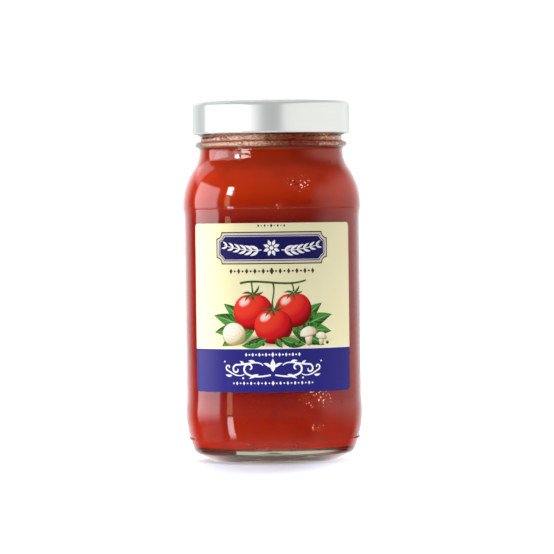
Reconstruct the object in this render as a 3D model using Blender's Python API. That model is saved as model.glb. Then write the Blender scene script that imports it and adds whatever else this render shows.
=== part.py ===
"""A closed jar of tomato sauce, in metres with +Z up.

A round glass jar stands on the origin. It holds the sauce, a twist-off metal lid closes it, and a
paper label is wrapped round its front, which faces -Y.
"""

from math import acos, atan2, cos, hypot, pi, radians, sin, sqrt, tau

import bmesh
import bpy

SEGMENTS = 60
WELD = 1e-6
CLEARANCE = 0.0003
SHARP_ANGLE = radians(35)

# Glass: the body, which is recessed between its shoulder and its heel to carry the label
SHOULDER_RADIUS = 0.0417
SHOULDER_HEIGHT = 0.1200
SHOULDER_CURVE = 0.031
PANEL_RADIUS = 0.04105
PANEL_TOP = 0.1140
PANEL_FOOT = 0.0305
HEEL_RADIUS = 0.0415
HEEL_HEIGHT = 0.0233
HEEL_CURVE = 0.0465
HEEL_CURVE_ENDS = radians(-23.2)
FOOT_CORNER = 0.0030
FOOT_SLOPE = radians(25.2)
FOOT_RING_OUTER = 0.0290
FOOT_RING_INNER = 0.0265
PUNT_RADIUS = 0.0220
PUNT_HEIGHT = 0.0032

# Glass: the neck, and the finish that the lid turns onto
NECK_RADIUS = 0.0336
NECK_CURVE = 0.0145
BEAD_RADIUS = 0.0357
BEAD_HEIGHT = 0.1488
BEAD_CURVE = 0.0014
FINISH_RADIUS = 0.0334
RIM_HEIGHT = 0.1677
RIM_CORNER = 0.0010
THREADS = 4
THREAD_FOOT = 0.1521
THREAD_LEAD = 0.0072
THREAD_SPAN = radians(150)
THREAD_TAPER = radians(9)
THREAD_DEPTH = 0.0010
THREAD_HALF_WIDTH = 0.00125
THREAD_TURN = radians(-77)
THREAD_ROWS = 9
THREAD_ROW_STEP = 0.0007

# Glass: the inside
WALL = 0.0026
FLOOR_HEIGHT = 0.0066
FLOOR_CROWN = 0.0030
FLOOR_CORNER = 0.0045
MOUTH_RADIUS = 0.0300

# Sauce: filled to just above the foot of the lid's skirt
SAUCE_LEVEL = 0.1546

# Lid: a drawn tinplate cap with a rolled foot and a button in its panel
LID_FOOT = 0.1536
LID_HEIGHT = 0.0158
LID_RADIUS = 0.0370
LID_CORNER = 0.0027
LID_SKIRT_WALL = 0.0008
LID_CROWN_RADIUS = 0.0262
LID_CROWN_DROP = 0.0004
LID_PANEL_RADIUS = 0.0240
LID_PANEL_DROP = 0.0005
LID_BUTTON_RADIUS = 0.0105
LID_BUTTON_EDGE = 0.0020
LID_BUTTON_RISE = 0.0003
LID_CURL = 0.0010
LID_UNDERSIDE = 0.0145

# Label: paper, with round corners, turned a little to the left of the front
LABEL_FOOT = 0.0336
LABEL_TOP = 0.1118
LABEL_SPAN = radians(119.2)
LABEL_TURN = radians(-0.55)
LABEL_CORNER = 0.0020
LABEL_THICKNESS = 0.0003
LABEL_COLUMNS = 26
LABEL_CORNER_STEPS = 4

# Colour, roughness, metallic value and transmission of each piece
GLASS_FINISH = ((0.93, 0.96, 0.94), 0.03, 0.0, 1.0)
SAUCE_FINISH = ((0.42, 0.025, 0.008), 0.35, 0.0, 0.0)
LID_FINISH = ((0.80, 0.81, 0.79), 0.25, 1.0, 0.0)
LABEL_FINISH = ((0.84, 0.80, 0.58), 0.45, 0.0, 0.0)


def clear_scene():
    for thing in list(bpy.data.objects):
        bpy.data.objects.remove(thing)


def finish(name, colour, roughness, metallic, transmission):
    """A Principled material."""
    material = bpy.data.materials.new(name)
    material.use_nodes = True
    inputs = material.node_tree.nodes["Principled BSDF"].inputs
    inputs["Base Color"].default_value = (*colour, 1.0)
    inputs["Roughness"].default_value = roughness
    inputs["Metallic"].default_value = metallic
    inputs["Transmission Weight"].default_value = transmission
    return material


def arc(centre, radius, start, end, steps):
    """Points (radius, height) on an arc of an outline, from one angle to another in radians."""
    angles = [start + (end - start) * i / steps for i in range(steps + 1)]
    return [(centre[0] + radius * cos(a), centre[1] + radius * sin(a)) for a in angles]


def ease(start, end, steps):
    """Points on an S-shaped curve that leaves start and reaches end upright."""
    shares = [i / steps for i in range(steps + 1)]
    return [
        (start[0] + (end[0] - start[0]) * (1 - cos(pi * t)) / 2, start[1] + (end[1] - start[1]) * t)
        for t in shares
    ]


def named_object(name, mesh_work, material):
    """The bmesh as a smooth-shaded object."""
    mesh = bpy.data.meshes.new(name)
    mesh_work.to_mesh(mesh)
    mesh_work.free()
    mesh.materials.append(material)
    mesh.shade_smooth()
    mesh.set_sharp_from_angle(angle=SHARP_ANGLE)
    thing = bpy.data.objects.new(name, mesh)
    bpy.context.scene.collection.objects.link(thing)
    return thing


def turned(name, outline, material, relief=None):
    """An outline of (radius, height) points, from the axis to the axis, spun about Z."""
    work = bmesh.new()
    points = [work.verts.new((r, 0, z)) for r, z in outline]
    edges = [work.edges.new(pair) for pair in zip(points, points[1:])]
    bmesh.ops.spin(
        work,
        geom=points + edges,
        cent=(0, 0, 0),
        axis=(0, 0, 1),
        angle=tau,
        steps=SEGMENTS,
        use_merge=True,
    )
    bmesh.ops.remove_doubles(work, verts=work.verts, dist=WELD)
    bmesh.ops.recalc_face_normals(work, faces=work.faces)
    if relief:
        for vert in work.verts:
            radius = hypot(vert.co.x, vert.co.y)
            if radius > WELD:
                grown = 1 + relief(radius, atan2(vert.co.y, vert.co.x), vert.co.z) / radius
                vert.co.x *= grown
                vert.co.y *= grown
    return named_object(name, work, material)


def shoulder_and_neck(inset):
    """The shoulder's round and the neck's hollow, which meet in one tangent, taken in by inset."""
    shoulder = (SHOULDER_RADIUS - SHOULDER_CURVE, SHOULDER_HEIGHT)
    neck_across = NECK_RADIUS + NECK_CURVE - shoulder[0]
    reach = SHOULDER_CURVE + NECK_CURVE
    neck = (shoulder[0] + neck_across, shoulder[1] + sqrt(reach**2 - neck_across**2))
    meet = acos(neck_across / reach)
    rounded = arc(shoulder, SHOULDER_CURVE - inset, 0, meet, 8)
    hollow = arc(neck, NECK_CURVE + inset, pi + meet, pi, 4)
    return rounded + hollow[1:]


def heel():
    """The outside from the ring that the jar stands on, round the heel, to its widest."""
    wide = arc((HEEL_RADIUS - HEEL_CURVE, HEEL_HEIGHT), HEEL_CURVE, HEEL_CURVE_ENDS, 0, 4)
    tight_centre = (
        wide[0][0] - FOOT_CORNER * cos(HEEL_CURVE_ENDS),
        wide[0][1] - FOOT_CORNER * sin(HEEL_CURVE_ENDS),
    )
    tight = arc(tight_centre, FOOT_CORNER, FOOT_SLOPE - pi / 2, HEEL_CURVE_ENDS, 3)
    return [(FOOT_RING_INNER, 0), (FOOT_RING_OUTER, 0)] + tight + wide[1:]


def cavity(inset, top):
    """The inside from the middle of the floor to a height in the mouth, taken in by inset."""
    wall = PANEL_RADIUS - WALL - inset
    corner = (PANEL_RADIUS - WALL - FLOOR_CORNER, FLOOR_HEIGHT + FLOOR_CORNER)
    outline = [(0, FLOOR_HEIGHT + FLOOR_CROWN + inset)]
    outline += arc(corner, FLOOR_CORNER - inset, -pi / 2, 0, 5)
    outline += [(wall, PANEL_TOP)]
    outline += shoulder_and_neck(WALL + inset)
    outline += [(MOUTH_RADIUS - inset, BEAD_HEIGHT + BEAD_CURVE)]
    return outline + [(MOUTH_RADIUS - inset, top)]


def thread_relief(radius, angle, height):
    """How far the lugs of the finish stand out. Each rises to the right from its own foot."""
    if radius < FINISH_RADIUS - WELD or not BEAD_HEIGHT + BEAD_CURVE < height < RIM_HEIGHT:
        return 0
    front = angle + pi / 2
    stands = 0
    for start in range(THREADS):
        along = (front - THREAD_TURN - start * tau / THREADS) % tau
        if along > THREAD_SPAN:
            continue
        centre = THREAD_FOOT + THREAD_LEAD * along / tau
        aside = min(1, abs(height - centre) / THREAD_HALF_WIDTH)
        taper = min(1, along / THREAD_TAPER, (THREAD_SPAN - along) / THREAD_TAPER)
        stands = max(stands, THREAD_DEPTH * taper * cos(aside * pi / 2) ** 2)
    return stands


def glass_jar():
    """Standing ring, heel, label panel, shoulder, neck, bead and threads, then the inside."""
    outside = [(0, PUNT_HEIGHT), (PUNT_RADIUS, PUNT_HEIGHT / 2)] + heel()
    outside += ease((HEEL_RADIUS, HEEL_HEIGHT), (PANEL_RADIUS, PANEL_FOOT), 3)[1:]
    outside += ease((PANEL_RADIUS, PANEL_TOP), (SHOULDER_RADIUS, SHOULDER_HEIGHT), 3)[:-1]
    outside += shoulder_and_neck(0)
    outside += arc((BEAD_RADIUS - BEAD_CURVE, BEAD_HEIGHT), BEAD_CURVE, -pi / 2, pi / 2, 5)
    foot_row = BEAD_HEIGHT + BEAD_CURVE + THREAD_ROW_STEP / 4
    outside += [(FINISH_RADIUS, foot_row + THREAD_ROW_STEP * i) for i in range(THREAD_ROWS)]
    rim_centre = (FINISH_RADIUS - RIM_CORNER, RIM_HEIGHT - RIM_CORNER)
    outside += arc(rim_centre, RIM_CORNER, 0, pi / 2, 3)
    inside = cavity(0, RIM_HEIGHT - RIM_CORNER)[::-1]
    mouth = [(MOUTH_RADIUS + RIM_CORNER, RIM_HEIGHT)]
    return turned("glass_jar", outside + mouth + inside, finish("glass", *GLASS_FINISH), thread_relief)


def tomato_sauce():
    """The sauce up to its level, clear of the glass all round."""
    outline = cavity(CLEARANCE, SAUCE_LEVEL) + [(0, SAUCE_LEVEL)]
    return turned("tomato_sauce", outline, finish("sauce", *SAUCE_FINISH))


def lid():
    """A cap whose panel has a low crown and a button, and whose skirt ends in a rolled foot."""
    panel = LID_HEIGHT - LID_PANEL_DROP
    button = [
        (0, panel + LID_BUTTON_RISE),
        (LID_BUTTON_RADIUS, panel + LID_BUTTON_RISE),
        (LID_BUTTON_RADIUS + LID_BUTTON_EDGE, panel),
    ]
    corner_top = LID_HEIGHT - LID_CROWN_DROP
    corner_centre = (LID_RADIUS - LID_CORNER, corner_top - LID_CORNER)
    corner = arc(corner_centre, LID_CORNER, pi / 2, 0, 4)
    top = button + [(LID_PANEL_RADIUS, panel), (LID_CROWN_RADIUS, LID_HEIGHT)] + corner
    curl = arc((LID_RADIUS - LID_CURL, LID_CURL), LID_CURL, 0, -pi, 5)
    inner = LID_RADIUS - LID_SKIRT_WALL
    under = [
        (curl[-1][0], 2 * LID_CURL),
        (inner, 3 * LID_CURL),
        (inner, LID_UNDERSIDE - LID_CORNER / 2),
        (inner - LID_CORNER / 2, LID_UNDERSIDE),
        (0, LID_UNDERSIDE),
    ]
    cap = turned("lid", top + curl + under, finish("tinplate", *LID_FINISH))
    cap.location.z = LID_FOOT
    return cap


def label_columns():
    """(distance from the label's left edge, how far a round corner takes in its top and foot)."""
    width = LABEL_SPAN * PANEL_RADIUS
    corners = []
    for step in range(LABEL_CORNER_STEPS + 1):
        angle = pi / 2 * step / LABEL_CORNER_STEPS
        corners.append((LABEL_CORNER * (1 - cos(angle)), LABEL_CORNER * (1 - sin(angle))))
    between = width - 2 * LABEL_CORNER
    middle = [(LABEL_CORNER + between * i / LABEL_COLUMNS, 0) for i in range(1, LABEL_COLUMNS)]
    mirrored = [(width - along, taken) for along, taken in reversed(corners)]
    return corners + middle + mirrored


def label():
    """Paper wrapped round the panel, built on the front and then turned with its object."""
    inner = PANEL_RADIUS + CLEARANCE
    work = bmesh.new()
    rows = []
    for along, taken in label_columns():
        angle = along / PANEL_RADIUS - LABEL_SPAN / 2 - pi / 2
        ends = (LABEL_FOOT + taken, LABEL_TOP - taken)
        rows.append([work.verts.new((inner * cos(angle), inner * sin(angle), z)) for z in ends])
    for (foot, top), (next_foot, next_top) in zip(rows, rows[1:]):
        work.faces.new((foot, next_foot, next_top, top))
    sheet = bmesh.ops.extrude_face_region(work, geom=work.faces[:])
    outer = (inner + LABEL_THICKNESS) / inner
    for vert in sheet["geom"]:
        if isinstance(vert, bmesh.types.BMVert):
            vert.co.x *= outer
            vert.co.y *= outer
    bmesh.ops.recalc_face_normals(work, faces=work.faces)
    paper = named_object("label", work, finish("paper", *LABEL_FINISH))
    paper.rotation_euler.z = LABEL_TURN
    return paper


clear_scene()
glass_jar()
tomato_sauce()
lid()
label()
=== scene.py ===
"""A closed jar of tomato sauce as it looks: the finish of every piece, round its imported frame.

Metres, +Z up. The jar stands on the origin, and its label faces -Y, towards the camera.
"""

from math import acos, atan2, cos, hypot, pi, radians, sin, sqrt, tan, tau

import bmesh
import bpy
import numpy as np
from mathutils import Matrix, Vector, noise
from mathutils.geometry import interpolate_bezier


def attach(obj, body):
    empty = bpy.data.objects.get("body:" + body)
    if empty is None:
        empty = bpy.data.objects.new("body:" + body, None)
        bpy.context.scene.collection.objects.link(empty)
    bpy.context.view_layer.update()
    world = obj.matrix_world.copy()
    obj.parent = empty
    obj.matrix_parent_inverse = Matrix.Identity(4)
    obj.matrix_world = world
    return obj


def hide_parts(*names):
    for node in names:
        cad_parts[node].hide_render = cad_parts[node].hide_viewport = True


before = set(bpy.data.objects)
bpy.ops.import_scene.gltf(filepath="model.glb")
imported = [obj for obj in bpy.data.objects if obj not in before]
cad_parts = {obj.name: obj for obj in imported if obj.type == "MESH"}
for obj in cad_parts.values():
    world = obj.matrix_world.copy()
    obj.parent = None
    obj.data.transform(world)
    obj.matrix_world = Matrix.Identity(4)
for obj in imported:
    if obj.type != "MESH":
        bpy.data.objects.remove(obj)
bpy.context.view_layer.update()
scene = bpy.context.scene

# The camera: a long lens at the height of the jar's upper half, 1.8 m away. It looks a little down
# and is held a little askew, so that the jar's top leans to the left.
CAMERA_PLACE = (0.002, -1.80, 0.1162)
CAMERA_TILT = radians(-0.957)
CAMERA_ROLL = radians(-0.7)
FRAME_PIXELS = 554
FOCAL_PIXELS = 3812
SENSOR_MM = 36

camera = bpy.data.objects.new("camera", bpy.data.cameras.new("camera"))
camera.data.sensor_width = SENSOR_MM
camera.data.lens = FOCAL_PIXELS * SENSOR_MM / FRAME_PIXELS
camera.matrix_world = (
    Matrix.Translation(CAMERA_PLACE)
    @ Matrix.Rotation(pi / 2 + CAMERA_TILT, 4, "X")
    @ Matrix.Rotation(CAMERA_ROLL, 4, "Z")
)
scene.collection.objects.link(camera)
scene.camera = camera
scene.view_settings.view_transform = "Standard"
scene.cycles.use_denoising = True

# The studio, as the jar mirrors it: a tall softbox at the left with a bright wall high behind it, a
# lamp between it and the camera with its image in the table, and a pale screen at the right. Lights
# named sauce_ or lid_ light only that piece. The world is white behind, and stands in for the table.
AIM_HEIGHT = 0.10
STUDIO_LIGHTS = {
    # name: (azimuths from the camera's side in degrees, foot and top in metres, distance in metres,
    #        radiance, colour, shares of the light over which its sides, foot and top fade)
    "softbox": ((-117, -70), (-0.05, 0.28), 0.34, 3.5, (1.0, 0.94, 0.99), (0.10, 0.26, 0.06)),
    "high_wall": ((-162, -115), (0.36, 1.30), 0.9, 1.1, (1.0, 0.94, 0.97), (0.12, 0.12, 0.20)),
    "lamp": ((-63, -53), (0.44, 0.77), 1.2, 22.0, (1.0, 0.98, 0.97), (0.15, 0.15, 0.15)),
    "lamp_stand": ((-64, -55), (-0.05, 0.44), 1.2, 2.8, (1.0, 0.70, 0.42), (0.12, 0.05, 0.05)),
    "lamp_in_table": ((-62, -52), (-0.150, 0.008), 0.34, 8.0, (1.0, 0.93, 0.94), (0.15, 0.3, 0.15)),
    "screen": ((50, 146), (-0.11, 0.42), 0.40, 0.80, (1.0, 0.88, 0.86), (0.35, 0.35, 0.35)),
    "sauce_left": ((-130, -75), (-0.3, 0.10), 0.6, 30.0, (1.0, 0.95, 0.95), (0.4, 0.4, 0.4)),
    "sauce_right": ((60, 115), (-0.1, 0.4), 0.6, 16.0, (1.0, 0.95, 0.95), (0.4, 0.4, 0.4)),
    "lid_softbox": ((-112, -36), (-0.3, 0.6), 1.0, 2.6, (0.97, 1.0, 0.99), (0.10, 0.10, 0.10)),
    "lid_glow": ((-62, -6), (-0.3, 0.6), 1.0, 1.7, (0.98, 1.0, 0.98), (0.50, 0.50, 0.50)),
    "lid_screen": ((12, 150), (-0.3, 0.6), 0.5, 1.0, (1.0, 1.0, 0.97), (0.18, 0.18, 0.18)),
}
WHITE_LIGHTS = {
    # name: (place, size, radiance, share over which each side fades). They aren't mirrored.
    "ceiling": ((-0.25, 0.80, 1.5), (1.6, 1.2), 6.0, 0.1),
    "overhead": ((-0.05, -0.12, 1.2), (0.8, 0.5), 10.0, 0.3),
    "fill": ((0.9, -0.5, 0.3), (0.6, 0.8), 0.9, 0.3),
}
FRONT_GLOW = 0.03
FRONT_FILL = 0.165
BACK_GLOW = 1.2
BACK_REACH = (0.6, 0.95)
SKY_GLOW = 0.12
SKY_REACH = (0.25, 0.8)
UNDER_GLOW = (0.90, 0.72, 0.64)
UNDER_REACH = (-0.35, -0.85)
BACKDROP_GLOW = 1.2


def add(tree, kind, settings=None, **inputs):
    """A new node. Its inputs are named with _ for a space, or by i and a number. A socket is linked."""
    made = tree.nodes.new(kind)
    for setting, value in (settings or {}).items():
        setattr(made, setting, value)
    for label, value in inputs.items():
        socket = made.inputs[int(label[1:]) if label[1:].isdigit() else label.replace("_", " ")]
        if isinstance(value, bpy.types.NodeSocket):
            tree.links.new(value, socket)
        else:
            socket.default_value = value
    return made


def tree_of(*values):
    """The node tree that the values come from. Some of them may be plain numbers."""
    return next(value.id_data for value in values if isinstance(value, bpy.types.NodeSocket))


def maths(operation, first, second=0.0, third=0.0):
    """The result of a Math node."""
    tree = tree_of(first, second, third)
    made = add(tree, "ShaderNodeMath", {"operation": operation}, i0=first, i1=second, i2=third)
    return made.outputs[0]


def times(first, second):
    """One value multiplied by another."""
    return maths("MULTIPLY", first, second)


def parts_of(vector):
    """A vector's X, Y and Z."""
    return add(tree_of(vector), "ShaderNodeSeparateXYZ", Vector=vector).outputs


def ramp(share, start, end):
    """A value that goes from 0 at start to 1 at end, with soft ends."""
    soft = {"interpolation_type": "SMOOTHSTEP"}
    ends = {"From_Min": start, "From_Max": end}
    return add(tree_of(share), "ShaderNodeMapRange", soft, Value=share, **ends).outputs["Result"]


def mixed(share, first, second):
    """One colour laid over another by a share from 0 to 1."""
    tree = tree_of(share)
    blend = add(tree, "ShaderNodeMix", {"data_type": "RGBA"}, Factor=share)
    for socket, colour in zip([s for s in blend.inputs if s.type == "RGBA"], (first, second)):
        if isinstance(colour, bpy.types.NodeSocket):
            tree.links.new(colour, socket)
        else:
            socket.default_value = (*colour, 1)
    return next(s for s in blend.outputs if s.type == "RGBA")


def area_light(name, place, size, radiance, colour, fades, mirrored_too=True):
    """A rectangular light that faces the jar, with sides, a foot and a top that fade."""
    light = bpy.data.lights.new(name, "AREA")
    light.shape = "RECTANGLE"
    light.size, light.size_y = size
    light.energy = radiance * pi * size[0] * size[1]
    light.color = colour
    light.use_nodes = True
    tree = light.node_tree
    across = parts_of(add(tree, "ShaderNodeNewGeometry").outputs["Parametric"])
    sides, foot, top = fades
    fade = ramp(maths("PINGPONG", across["X"], 0.5), 0.0, sides)
    fade = times(fade, ramp(across["Y"], 0.0, foot))
    fade = times(fade, ramp(across["Y"], 1.0, 1.0 - top))
    tree.links.new(fade, tree.nodes["Emission"].inputs["Strength"])
    lamp = bpy.data.objects.new(name, light)
    lamp.location = place
    facing = Vector((0, 0, AIM_HEIGHT)) - Vector(place)
    lamp.rotation_euler = facing.to_track_quat("-Z", "Y").to_euler()
    lamp.visible_camera = False
    lamp.visible_glossy = mirrored_too
    scene.collection.objects.link(lamp)


for name, (azimuths, heights, distance, radiance, colour, fades) in STUDIO_LIGHTS.items():
    middle = radians(sum(azimuths) / 2)
    half_span = radians(azimuths[1] - azimuths[0]) / 2
    place = (distance * sin(middle), -distance * cos(middle), sum(heights) / 2)
    size = (2 * distance * tan(half_span), heights[1] - heights[0])
    area_light(name, place, size, radiance, colour, fades, not name.startswith("sauce_"))
for name, (place, size, radiance, fade) in WHITE_LIGHTS.items():
    area_light(name, place, size, radiance, (1, 1, 1), (fade,) * 3, mirrored_too=False)

world = bpy.data.worlds.new("studio")
scene.world = world
world.use_nodes = True
sky = world.node_tree
sky.nodes.clear()
towards = parts_of(add(sky, "ShaderNodeTexCoord").outputs["Generated"])
behind = ramp(towards["Y"], *BACK_REACH)
above = ramp(towards["Z"], *SKY_REACH)
ray = add(sky, "ShaderNodeLightPath").outputs
lighting = maths("GREATER_THAN", ray["Diffuse Depth"], 0.5)
front = mixed(lighting, (FRONT_GLOW,) * 3, (FRONT_FILL,) * 3)
surround = mixed(behind, front, (BACK_GLOW,) * 3)
surround = mixed(above, surround, (SKY_GLOW,) * 3)
beneath = ramp(towards["Z"], *UNDER_REACH)
surround = mixed(beneath, surround, UNDER_GLOW)
backdrop = mixed(ray["Is Camera Ray"], surround, (BACKDROP_GLOW,) * 3)
sky_light = add(sky, "ShaderNodeBackground", Color=backdrop)
add(sky, "ShaderNodeOutputWorld", Surface=sky_light.outputs[0])

# The floor: a white sheet that runs on behind the jar and glows, so that only a contact shadow shows on
# it; that shadow is painted into its glow, lower and bluer near the jar and in front of it. Seen through
# the glass it glows less. Its glow on the jar comes from close by. It isn't mirrored: the world below
# stands in.
FLOOR_HALF = 3.0
FLOOR_DROP = 0.00005
FLOOR_COLOUR = (0.42, 0.42, 0.47, 1)
SHADOW_MIDDLE = (0.02, 0.035, 0.0)
SHADOW_SHAPE = (2.8, 1.0, 1.0)
SHADOW_REACH = (0.03, 0.18)
SHADOW_TINT = (0.90, 0.92, 1.0)
GLOW_IN_SHADOW = 0.30
GLOW_BEYOND = 1.2
LIT_REACH = (0.08, 0.25)
THROUGH_GLASS = 0.45
LIT_NEAR = 1.7
LIT_FAR = 0.25


def chosen(share, first, second):
    """One number or another by a share from 0 to 1."""
    return add(tree_of(share), "ShaderNodeMix", Factor=share, i2=first, i3=second).outputs[0]


def vectors(operation, *given, output="Vector"):
    """A result of a Vector Math node."""
    inputs = {f"i{i}": vector for i, vector in enumerate(given)}
    made = add(tree_of(*given), "ShaderNodeVectorMath", {"operation": operation}, **inputs)
    return made.outputs[output]


def length_of(vector):
    """How far a place is from the origin."""
    return vectors("LENGTH", vector, output="Value")


def object_place(tree):
    """The place on the object, in metres."""
    return add(tree, "ShaderNodeTexCoord").outputs["Object"]


def principled(name, **inputs):
    """A material whose Principled shader has these inputs, and its node tree."""
    material = bpy.data.materials.new(name)
    material.use_nodes = True
    shader = material.node_tree.nodes["Principled BSDF"]
    for label, value in inputs.items():
        shader.inputs[label.replace("_", " ")].default_value = value
    return material, material.node_tree, shader


def studio_sheet(name, corners, material):
    """A flat sheet with four corners, which isn't part of the object."""
    mesh = bpy.data.meshes.new(name)
    mesh.from_pydata(corners, [], [(0, 1, 2, 3)])
    mesh.materials.append(material)
    sheet = bpy.data.objects.new(name, mesh)
    scene.collection.objects.link(sheet)
    return sheet


floor_sheet, tree, shader = principled(
    "floor_sheet", Base_Color=FLOOR_COLOUR, Roughness=1.0, Specular_IOR_Level=0.0
)
place = object_place(tree)
# Painted shadow: the glow is lower and bluer in an oval round the jar, reaching out in front.
shaped = add(tree, "ShaderNodeMapping", Vector=place, Location=SHADOW_MIDDLE, Scale=SHADOW_SHAPE)
out_of_shadow = ramp(length_of(shaped.outputs["Vector"]), *SHADOW_REACH)
tree.links.new(mixed(out_of_shadow, SHADOW_TINT, (1, 1, 1)), shader.inputs["Emission Color"])
seen_glow = chosen(out_of_shadow, GLOW_IN_SHADOW, GLOW_BEYOND)
lit_glow = chosen(ramp(length_of(place), *LIT_REACH), LIT_NEAR, LIT_FAR)
ray = add(tree, "ShaderNodeLightPath").outputs
first_sight = maths("LESS_THAN", ray["Diffuse Depth"], 0.5)
through_glass = times(ray["Is Transmission Ray"], first_sight)
glow = chosen(through_glass, lit_glow, times(seen_glow, THROUGH_GLASS))
tree.links.new(chosen(ray["Is Camera Ray"], glow, seen_glow), shader.inputs["Emission Strength"])
square = [(-1, -1), (1, -1), (1, 1), (-1, 1)]
square = [(x * FLOOR_HALF, y * FLOOR_HALF, -FLOOR_DROP) for x, y in square]
floor = studio_sheet("floor", square, floor_sheet)
floor.visible_glossy = False

# A low brown card stands behind the jar at the right. Only rays that come through the glass meet it:
# the round bottom of the jar shows it turned over, as the dark left edge of its pale patch.
CARD_ACROSS = (0.0145, 0.055)
CARD_BEHIND = 0.09
CARD_HEIGHT = 0.040
CARD_BROWN = (0.10, 0.035, 0.03, 1)

card_paint, *_ = principled("card_paint", Base_Color=CARD_BROWN, Roughness=1.0)
left, right = CARD_ACROSS
upright = [(left, 0), (right, 0), (right, CARD_HEIGHT), (left, CARD_HEIGHT)]
card = studio_sheet("card", [(x, CARD_BEHIND, z) for x, z in upright], card_paint)
for kind_of_ray in ("camera", "diffuse", "glossy", "shadow"):
    setattr(card, f"visible_{kind_of_ray}", False)

# The jar is clear pressed and blown glass. From its foot up it has a hollow foot inside a standing
# ring, the heel, a panel set back for the label, the shoulder, the neck, the bead that the machine
# carries it by, and the finish with four lugs. Its mould leaves a seam up each side.
SHOULDER_RADIUS = 0.0417
SHOULDER_HEIGHT = 0.1200
SHOULDER_CURVE = 0.031
PANEL_RADIUS = 0.04105
PANEL_TOP = 0.1140
PANEL_FOOT = 0.0305
HEEL_RADIUS = 0.0415
HEEL_HEIGHT = 0.0233
HEEL_CURVE = 0.0465
HEEL_CURVE_ENDS = radians(-23.2)
FOOT_CORNER = 0.0030
FOOT_SLOPE = radians(25.2)
FOOT_RING_OUTER = 0.0290
FOOT_RING_INNER = 0.0265
PUNT_RADIUS = 0.0220
PUNT_HEIGHT = 0.0032
NECK_RADIUS = 0.0336
NECK_CURVE = 0.0145
BEAD_RADIUS = 0.0357
BEAD_HEIGHT = 0.1488
BEAD_CURVE = 0.0014
FINISH_RADIUS = 0.0334
RIM_HEIGHT = 0.1677
RIM_CORNER = 0.0010
THREADS = 4
THREAD_FOOT = 0.1521
THREAD_LEAD = 0.0072
THREAD_SPAN = radians(150)
THREAD_TAPER = radians(9)
THREAD_DEPTH = 0.0014
THREAD_HALF_WIDTH = 0.00115
THREAD_TURN = radians(-77)
THREAD_RINGS_REACH = 0.005
WALL = 0.0026
FLOOR_HEIGHT = 0.0066
FLOOR_CROWN = 0.0030
FLOOR_CORNER = 0.0045
MOUTH_RADIUS = 0.0300
PARTING_HEIGHT = 0.0106
PARTING_RISE = 0.00070
PARTING_HALF_WIDTH = 0.0006
PARTING_RADIUS = 0.0385
PARTING_SIDES = 0.9
PARTING_DASHES = 96
DASH_END = -0.3
SEAM_ANGLES = (radians(2), radians(182))
SEAM_RISE = 0.00012
SEAM_HALF_WIDTH = 0.0004
PLATE_HEIGHT = 0.004  # up to which the bottom is pressed by a plate of its own
LEDGE_HEIGHT = 0.1190
LEDGE_RISE = 0.00022
LEDGE_HALF_WIDTH = 0.0006
DOT_ROWS = (0.0066, 0.0079, 0.0092)
DOT_GROUPS = (radians(-17.6), radians(-6.0), radians(11.7))
DOT_GROUP_COLUMNS = 4
DOT_PITCH = radians(1.5)
DOT_RADIUS = 0.00055
DOT_RISE = 0.00050
DOTS_FROM_RADIUS = 0.036
KNURLS = 90
KNURL_RISE = 0.00010
KNURL_RADII = (0.0295, 0.0340)
RIPPLE = 0.00003
RIPPLE_RADIUS = 0.04
RIPPLE_SCALES = (70, 160)
COARSE_COLUMN = radians(1.25)
FINE_COLUMN = radians(0.4)
FINE_HALF_SPAN = radians(20)
SHARP_EDGE = radians(40)
CLEAR = (0.985, 0.995, 0.99)
SHADOW_CLEAR = (0.96, 0.975, 0.965, 1)
WALL_TINT = (0.45, 0.45, 0.28, 1)
WALL_DENSITY = 22.0
# Painted shade: dark brown lines in the glass's colour at its creases by the bead and lid, and at its
# foot.
CREASE_SHADE_BROWN = (0.10, 0.045, 0.025)
CREASE_SHADES = (
    # height, half width and depth of a line of painted shade where the glass turns sharply
    (0.1472, 0.0010, 0.9),
    (0.1502, 0.0008, 0.85),
    (0.1535, 0.0010, 0.9),
    (0.0020, 0.0012, 0.4),
    (0.0004, 0.0022, 0.25),
)
# Brown mottling on the finish: partly marks, partly painted shade, thinned where light falls on the neck.
MARK_AND_SHADE_BROWN = (0.46, 0.14, 0.04)
LIT_FINISH_TURN = (radians(-65), radians(-2))  # from the front, where the neck is less marked


def polar(centre, reach, angle):
    """The point that lies at an angle and a reach from a centre."""
    return (centre[0] + reach * cos(angle), centre[1] + reach * sin(angle))


def arc(centre, radius, start, end, steps):
    """Points (radius, height) on an arc of an outline, from one angle to another."""
    return [polar(centre, radius, start + (end - start) * i / steps) for i in range(steps + 1)]


def even(share):
    """A share that grows evenly."""
    return share


def slow_ends(share):
    """A share that leaves 0 and reaches 1 slowly."""
    return (1 - cos(pi * share)) / 2


def line(start, end, steps, across=even, up=even):
    """Points from start to end of a stretch of an outline, straight where both ways grow evenly."""
    shares = [i / steps for i in range(steps + 1)]
    run, rise = end[0] - start[0], end[1] - start[1]
    return [(start[0] + run * across(t), start[1] + rise * up(t)) for t in shares]


def ease(start, end, steps):
    """Points on an S-shaped curve that leaves start and reaches end upright."""
    return line(start, end, steps, across=slow_ends)


def joined(*stretches):
    """Stretches of an outline one after another, with no point twice."""
    outline = []
    for stretch in stretches:
        met = bool(outline) and np.allclose(stretch[0], outline[-1], rtol=0, atol=1e-7)
        outline += stretch[met:]
    return outline


def columns(fine_places=()):
    """Angles round the jar, at even steps with finer ones within reach of the places given."""
    angles = set(np.round(np.arange(0, tau - 1e-9, COARSE_COLUMN), 6))
    for place, reach in fine_places:
        angles = {a for a in angles if abs((a - place + pi) % tau - pi) > reach}
        count = round(2 * reach / FINE_COLUMN)
        angles |= {round((place - reach + 2 * reach * i / count) % tau, 6) for i in range(count + 1)}
    return np.array(sorted(angles))


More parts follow.
